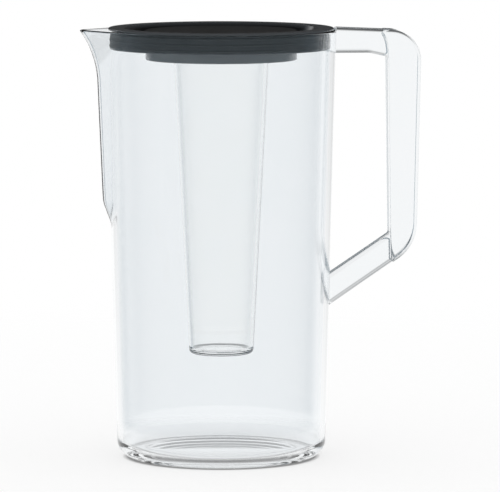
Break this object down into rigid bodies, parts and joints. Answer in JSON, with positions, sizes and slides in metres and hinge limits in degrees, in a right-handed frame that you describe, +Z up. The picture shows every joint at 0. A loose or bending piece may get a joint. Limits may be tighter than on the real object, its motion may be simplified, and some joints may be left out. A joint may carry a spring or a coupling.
{
  "type": "pitcher with ice core",
  "caption": "Clear tapered table pitcher with a pouring spout and an angular handle, closed by a dark plug lid that carries a clear screw-in tube for ice.",
  "frame": {"origin": "centre of the base, on the table the pitcher stands on", "axes": "+Z up along the axis of the pitcher, +X towards the handle, -X towards the spout"},
  "size_m": [0.1992, 0.135, 0.2529],
  "materials": {
    "clear_plastic": "clear, polished",
    "lid_plastic": "dark grey, satin",
    "seal_rubber": "matt black silicone",
    "core_plastic": "clear, polished",
    "gasket_rubber": "translucent silicone"
  },
  "bodies": {
    "pitcher": {"pitcher_body": "clear_plastic", "handle": "clear_plastic"},
    "lid": {"lid": "lid_plastic", "lid_seal": "seal_rubber"},
    "gasket": {"core_gasket": "gasket_rubber"},
    "core": {"core_tube": "core_plastic"}
  },
  "joints": [
    {"name": "lid_lift", "type": "slide", "parent": "pitcher", "child": "lid", "axis": [0, 0, 1], "range_m": [0, 0.21]},
    {"name": "core_drop", "type": "slide", "parent": "lid", "child": "gasket", "axis": [0, 0, -1], "range_m": [0, 0.012]},
    {"name": "core_turn", "type": "hinge", "parent": "gasket", "child": "core", "pos_m": [0, 0, 0.238], "axis": [0, 0, -1], "range_deg": [0, 360]}
  ],
  "couplings": [
    {"joint": "core_drop", "follows": "core_turn", "m_per_rad": 0.0019099}
  ]
}
